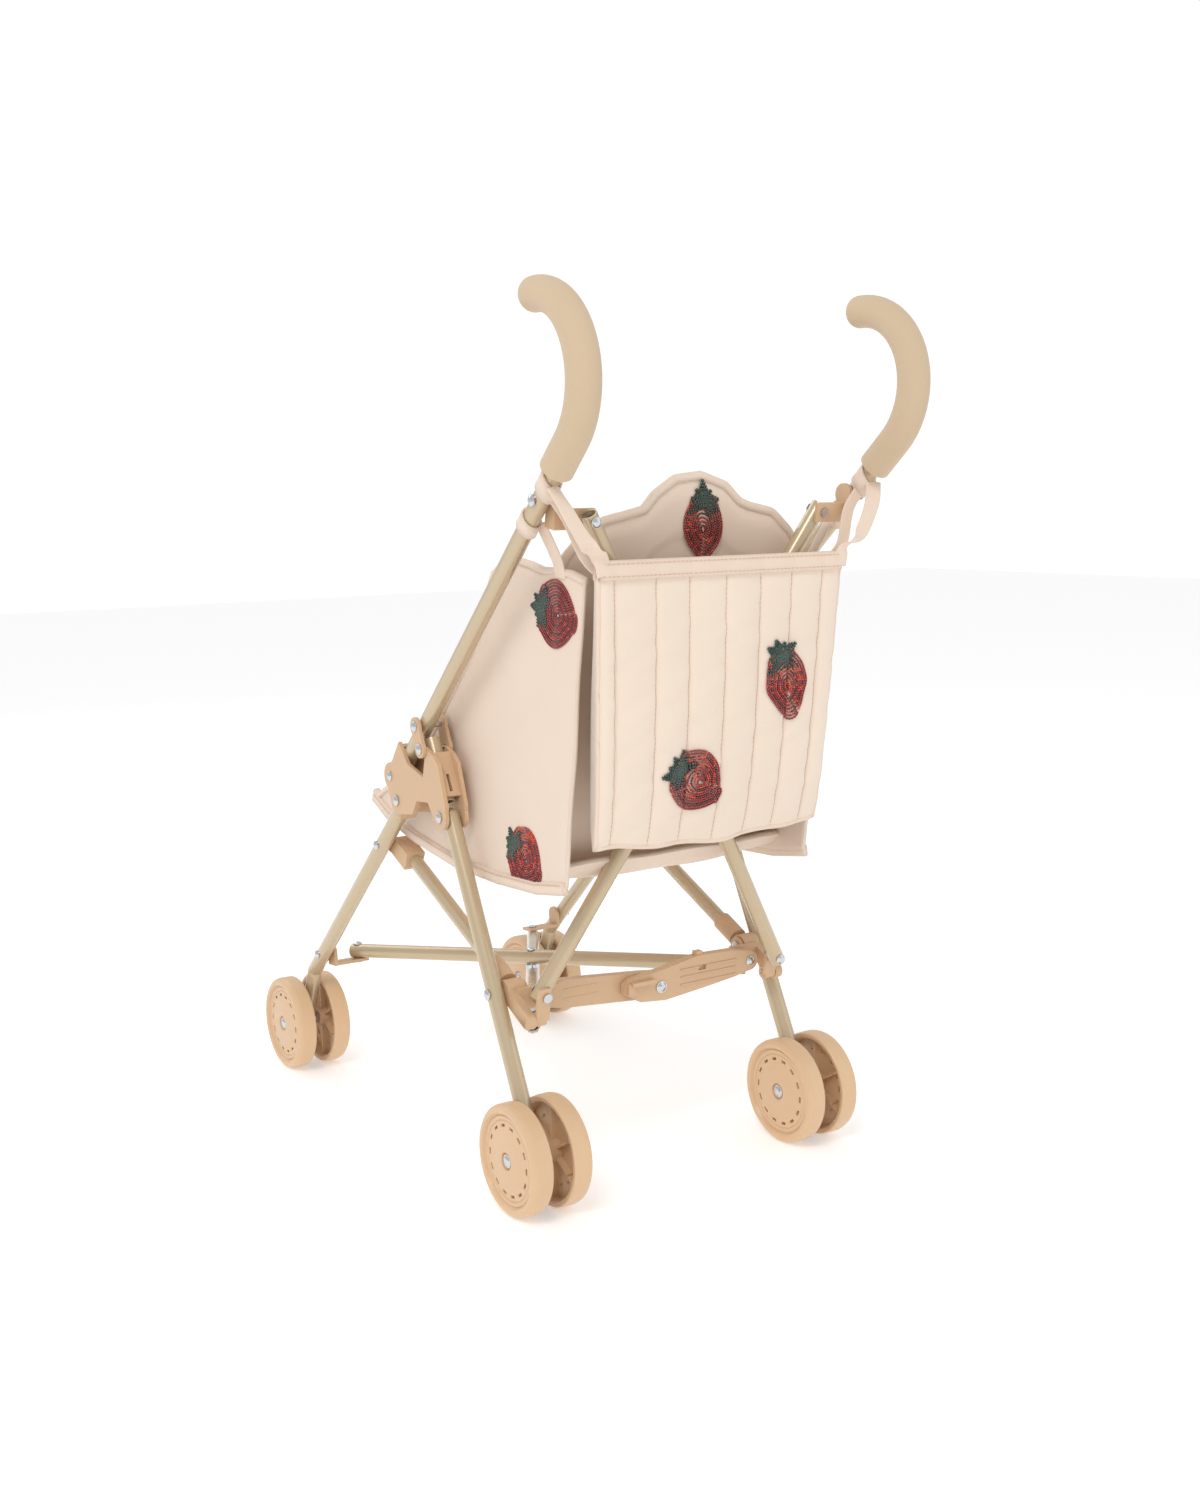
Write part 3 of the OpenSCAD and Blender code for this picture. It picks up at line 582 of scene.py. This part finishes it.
def handle_direction(sgn):
    """Direction of a handle tube, sgn 1 on the left and -1 on the right."""
    across, lean = math.sin(HANDLE_SPLAY), math.cos(HANDLE_SPLAY)
    return Vector((sgn * across, lean * HANDLE_REAR, lean * HANDLE_RISE))


def handle_point(s, sgn):
    """A point on a handle's axis s mm up from its foot, in mm."""
    x, y, z = HANDLE_FOOT
    d = handle_direction(1)
    return Vector((sgn * (x + d.x * s), y + d.y * s, z + d.z * s))


def ring_on_handle(name, s, sgn, width, thick, tilt):
    """A cloth loop round the handle tube."""
    c = handle_point(s, sgn)
    d = handle_direction(sgn).normalized()
    a = d.orthogonal().normalized()
    b = d.cross(a)
    outer = LOOP_R + thick
    verts, faces = [], []
    n = 40
    for (r, w) in ((LOOP_R, -width / 2), (outer, -width / 2), (outer, width / 2), (LOOP_R, width / 2)):
        for k in range(n):
            t = 2 * math.pi * k / n
            verts.append(P(*(c + a * math.cos(t) * r + b * math.sin(t) * r + d * (w + tilt * math.cos(t)))))
    for j in range(4):
        this, after = j * n, ((j + 1) % 4) * n
        for k in range(n):
            faces.append((this + k, after + k, after + (k + 1) % n, this + (k + 1) % n))
    return new_mesh(name, verts, faces, BIND)


def ribbon(name, pts, width, thick, side):
    """A flat strap along points in mm; side is its width direction."""
    path = spline([P(*p) for p in pts], 10)
    return tube(name, path, width / 2 * MM, BIND, flat=thick / width, side=side, n=12)


def build_straps(sgn, name):
    """The bag's two straps and their loop, and the tie band that holds the seat wing to the handle."""
    top = handle_point(STRAP_UP, sgn)
    tie = handle_point(TIE_UP, sgn)
    rear_y = back_y(BAG_TOP) + 27
    front_y = back_y(BAG_TOP) + 20
    rear = [(top.x + sgn * 2, top.y + 6.6, top.z - 1), (sgn * 112, top.y + 12, 428),
            (sgn * 101, top.y + 14, 410), (sgn * 90, rear_y + 1.5, BAG_TOP + 2),
            (sgn * 87, rear_y + 1.0, BAG_TOP - 8)]
    front = [(top.x - sgn * 4, top.y - 1, top.z - 7), (sgn * 104, top.y - 1, 424),
             (sgn * 96, front_y, 404), (sgn * 87, front_y, BAG_TOP - 4)]
    web = [(tie.x - sgn * 6.6, tie.y + 1, tie.z), (sgn * 104, tie.y + 1, tie.z - 8),
           (sgn * 96, tie.y - 1, tie.z - 22), (sgn * 92.6, tie.y - 3, tie.z - 32)]
    return join(name, [
        ring_on_handle(f"strap_loop_{sgn}", STRAP_UP, sgn, 12, 1.3, 3.0),
        ribbon(f"strap_back_{sgn}", rear, 10, 1.5, Vector((1, 0, 0.5 * sgn))),
        ribbon(f"strap_front_{sgn}", front, 8, 1.4, Vector((1, 0, 0.4 * sgn))),
        ring_on_handle(f"tie_ring_{sgn}", TIE_UP, sgn, 9, 1.2, 2.0),
        ribbon(f"tie_web_{sgn}", web, 10, 1.4, Vector((0, 1, 0.2)))])


strap_l = build_straps(1, "straps_left")
strap_r = build_straps(-1, "straps_right")


# ---------------------------------------------------------------- strawberries
BEAD_STEP = 1.45
RING_GAP = 1.55
LEAF_ANGLES = (-2.75, -2.1, -1.45, -0.9, -0.35, 0.35, 2.4, 3.0)
# The sequin entry paints the highlight: it is used only in each berry's glare band
BERRY_MATS = [RED, DARKRED, SEQUIN_HIGHLIGHT, GREEN]
BEAD_RED, BEAD_DARK, BEAD_SEQUIN_HIGHLIGHT, BEAD_GREEN = range(4)


def bead_template(n=6):
    """A faceted bead of unit size: three rings and a top."""
    v, f = [], []
    for j, (rr, zz) in enumerate(((0.75, 0.0), (0.95, 0.45), (0.55, 0.85))):
        for k in range(n):
            t = 2 * math.pi * (k + 0.5 * j) / n
            v.append((rr * math.cos(t), rr * math.sin(t), zz))
    v.append((0, 0, 1.0))
    for j in range(2):
        for k in range(n):
            a, b = j * n + k, j * n + (k + 1) % n
            f.append((a, b, b + n, a + n))
    for k in range(n):
        f.append((2 * n + k, 2 * n + (k + 1) % n, 3 * n))
    return v, f


BEAD_VERTS, BEAD_FACES = bead_template()


class Beads:
    """Collects beads into one mesh, with a material index for each face."""

    def __init__(self):
        self.v, self.f, self.m = [], [], []

    def add(self, p, x, y, n, r, h, mat):
        first = len(self.v)
        for (a, c, d) in BEAD_VERTS:
            self.v.append(p + x * a * r[0] + y * c * r[1] + n * d * h)
        for q in BEAD_FACES:
            self.f.append(tuple(first + k for k in q))
            self.m.append(mat)


def fruit_outline(w, h, s):
    """The fruit's closed outline at scale s: right flank up from the tip, shoulder, left flank, tip."""
    right = []
    for i in range(120):
        t = i / 119
        half = 0.5 * w * math.sin(math.pi * min(1.0, 0.06 + t * 0.72)) ** 0.75
        right.append((half * s, -h / 2 + h * (0.5 + (t - 0.5) * s) * 0.80))
    (x0, y0), (xe, ye) = right[0], right[-1]
    shoulder = [(xe * math.cos(math.pi * i / 40), ye + 0.13 * h * s * arch(i / 40)) for i in range(1, 40)]
    tip = [(-x0 * math.cos(math.pi * i / 30), y0 - 0.07 * h * s * arch(i / 30)) for i in range(1, 30)]
    return right + shoulder + [(-x, y) for x, y in reversed(right)] + tip


def strawberry(name, place, w, h, turn, seed, glare, lift):
    """A beaded strawberry. place(a, b) gives (point, normal) a mm right and b mm up on the cloth."""
    bd = Beads()
    ct, sn = math.cos(turn), math.sin(turn)

    def local(a, b):
        return place(a * ct - b * sn, a * sn + b * ct)

    def put(a, b, ang, size, mat, height):
        p, n = local(a, b)
        p1, _ = local(a + math.cos(ang) * 0.5, b + math.sin(ang) * 0.5)
        x = (p1 - p).normalized()
        y = n.cross(x).normalized()
        bd.add(p + n * lift * MM, x, y, n, (size * 0.62 * MM, size * 0.45 * MM), height * MM, mat)

    # nested outlines of the fruit, bead by bead, with sequins in the glare band, where they paint the
    # highlight of light falling on the fruit
    rings = int(w / 2 / RING_GAP)
    for k in range(rings):
        line = fruit_outline(w, h, 1 - k / rings)
        run = 0.0
        for (x0, y0), (x1, y1) in zip(line, line[1:] + line[:1]):
            run += math.hypot(x1 - x0, y1 - y0)
            if run < BEAD_STEP:
                continue
            run = 0.0
            across = (x1 / w + 0.5) * 0.6 + (y1 / h + 0.5) * 0.5
            hot = glare[0] < across - 0.25 * math.sin(k * 1.9 + x1 * 0.6 + seed) < glare[1]
            mat = BEAD_DARK if k % 3 == 2 else BEAD_RED
            # painted highlight: inside the glare band every other bead becomes a lighter, shinier sequin
            if hot and (k + int(x1 * 3 + y1)) % 2 == 0:
                mat = BEAD_SEQUIN_HIGHLIGHT
            put(x1, y1, math.atan2(y1 - y0, x1 - x0), 1.75, mat, 0.9)

    # pointed leaves from the crown
    crown = h * 0.30
    for i, away in enumerate(LEAF_ANGLES):
        ang = away + math.pi
        length = h * (0.26 + 0.05 * math.sin(i * 2.3 + seed))
        steps = int(length / 1.3)
        for s in range(steps):
            t = s / max(1, steps - 1)
            half = 2.6 * arch(0.12 + 0.85 * t) + 0.3
            x, y = math.cos(ang) * length * t, crown + math.sin(ang) * length * t
            rows = max(1, int(half / 0.8))
            for r in range(-rows, rows + 1):
                o = r * half / rows
                put(x - math.sin(ang) * o, y + math.cos(ang) * o, ang + 0.4 * r / rows, 1.6, BEAD_GREEN, 1.1)
    for i in range(6):
        put(0.6 * math.sin(i), crown + 2 + i * 1.3, 1.5, 1.7, BEAD_GREEN, 1.3)

    ob = new_mesh(name, bd.v, bd.f, BERRY_MATS[0])
    for m in BERRY_MATS[1:]:
        ob.data.materials.append(m)
    ob.data.polygons.foreach_set("material_index", bd.m)
    return ob


def panel_patch(f, u0, v0, width, height):
    """Lets a patch lie on the rear of panel f around (u0, v0); width and height are the panel's, in mm."""
    e = 0.004

    def place(a, b):
        u, v = u0 - a / width, v0 + b / height
        n = (f(u + e, v) - f(u - e, v)).cross(f(u, v + e) - f(u, v - e)).normalized()
        return f(u, v), -n
    return place


def bag_patch(x, z):
    height = BAG_TOP - BAG_BAND - BAG_BOTTOM
    return panel_patch(bag_back, (x + BAG_HALF) / (2 * BAG_HALF), (z - BAG_BOTTOM) / height,
                       2 * BAG_HALF, height)


def back_patch(x, z):
    height = 445 - BACK_FOOT_Z
    return panel_patch(back_surface, (x + SEAT_HALF) / (2 * SEAT_HALF), (z - BACK_FOOT_Z) / height,
                       2 * SEAT_HALF, height)


def side_patch(s, y0, z0):
    """Lets a patch lie on the outside of a side wing around depth y0 and height z0."""
    f = side_surface(s)
    e = 0.003

    def uv(y, z):
        u = (y - SIDE_FRONT_Y) / 250.0
        for _ in range(12):
            y_hem, y_top = side_ends(u)
            z_hem, z_top = side_heights(y_hem, y_top)
            v = (z - z_hem) / (z_top - z_hem)
            u += (y - (y_hem + (y_top - y_hem) * v)) / 250.0
        return u, v

    def place(a, b):
        u, v = uv(y0 + s * a, z0 + b)
        n = (f(u + e, v) - f(u - e, v)).cross(f(u, v + e) - f(u, v - e)).normalized()
        if n.x * s < 0:
            n = -n
        return f(u, v), n
    return place


# name, place, width, height, turn in degrees, seed, glare band, height above the cloth in mm
BERRIES = [("strawberry_bag_low", bag_patch(20, 266), 37, 43, 62, 1.0, (0.55, 1.0), 0.5),
           ("strawberry_bag_high", bag_patch(-48, 322), 31, 46, 18, 2.0, (0.45, 0.8), 0.5),
           ("strawberry_seat_top", back_patch(-13, 418), 29, 40, 4, 3.0, (0.2, 0.4), 2.7),
           ("strawberry_side", side_patch(1, 14, 368), 40, 44, 78, 4.0, (0.1, 0.2), 1.4),
           ("strawberry_hem", side_patch(1, -28, 215), 40, 40, 62, 5.0, (0.6, 1.1), 1.4),
           ("strawberry_side_right", side_patch(-1, 6, 362), 40, 44, -78, 6.0, (0.1, 0.2), 1.4)]
berries = [strawberry(name, place, w, h, math.radians(turn), seed, glare, lift)
           for name, place, w, h, turn, seed, glare, lift in BERRIES]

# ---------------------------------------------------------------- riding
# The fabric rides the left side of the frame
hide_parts("seat_sling")
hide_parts("storage_bag")
for ob in [seat, seat_trim, bag, bag_trim] + berries:
    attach(ob, "frame_left")
    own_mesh(ob)
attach(strap_l, "frame_left")
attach(strap_r, "frame_right")


# ---------------------------------------------------------------- stage, light, camera
def build_floor():
    bpy.ops.mesh.primitive_plane_add(size=12, location=(0, 0, -0.0005))
    floor = bpy.context.object
    floor.name = "floor"
    m = bpy.data.materials.new("floor")
    m.use_nodes = True
    b = m.node_tree.nodes["Principled BSDF"].inputs
    b["Base Color"].default_value = (0.9, 0.9, 0.905, 1)
    b["Roughness"].default_value = 0.6
    b["Emission Color"].default_value = (1.0, 1.0, 1.0, 1)
    b["Emission Strength"].default_value = 0.3
    floor.data.materials.append(m)


def build_world(light, backdrop):
    """A white studio: one strength lights the object, the other is what the camera sees."""
    scene.view_settings.view_transform = "Standard"
    world = scene.world or bpy.data.worlds.new("studio")
    scene.world = world
    world.use_nodes = True
    nt = world.node_tree
    lit = nt.nodes.get("Background")
    seen = nt.nodes.new("ShaderNodeBackground")
    for node, strength in ((lit, light), (seen, backdrop)):
        node.inputs["Color"].default_value = (1.0, 1.0, 1.0, 1)
        node.inputs["Strength"].default_value = strength
    ray = nt.nodes.new("ShaderNodeLightPath")
    pick = nt.nodes.new("ShaderNodeMixShader")
    nt.links.new(ray.outputs["Is Camera Ray"], pick.inputs["Fac"])
    nt.links.new(lit.outputs["Background"], pick.inputs[1])
    nt.links.new(seen.outputs["Background"], pick.inputs[2])
    nt.links.new(pick.outputs["Shader"], nt.nodes["World Output"].inputs["Surface"])


def area(name, loc, target, size, power):
    d = bpy.data.lights.new(name, "AREA")
    d.size = size
    d.energy = power
    o = bpy.data.objects.new(name, d)
    scene.collection.objects.link(o)
    o.location = loc
    o.rotation_euler = (Vector(target) - Vector(loc)).to_track_quat("-Z", "Y").to_euler()


def build_camera(place, yaw, pitch, roll, lens):
    """A camera at place, in mm, with its heading in degrees from +X."""
    yaw, pitch, roll = math.radians(yaw), math.radians(pitch), math.radians(roll)
    fwd = Vector((math.cos(pitch) * math.cos(yaw), math.cos(pitch) * math.sin(yaw), math.sin(pitch)))
    level = fwd.cross(Vector((0, 0, 1))).normalized()
    upright = level.cross(fwd)
    right = level * math.cos(roll) + upright * math.sin(roll)
    up = upright * math.cos(roll) - level * math.sin(roll)
    turn = Matrix((right, up, -fwd)).transposed().to_4x4()
    data = bpy.data.cameras.new("camera")
    data.sensor_fit = "HORIZONTAL"
    data.sensor_width = 36.0
    data.lens = lens
    cam = bpy.data.objects.new("camera", data)
    scene.collection.objects.link(cam)
    cam.matrix_world = Matrix.Translation(P(*place)) @ turn
    scene.camera = cam


build_floor()
build_world(light=0.72, backdrop=1.05)
area("key", (1.3, 1.1, 1.9), (0, 0, 0.25), 0.8, 16)
area("fill", (-1.4, 1.5, 1.0), (0, 0, 0.25), 1.6, 4)
area("rim", (0.4, -1.6, 1.5), (0, 0, 0.3), 1.2, 6)
build_camera((623.37, 874.75, 438.20), yaw=236.9, pitch=-8.51, roll=-0.99, lens=51.7575)
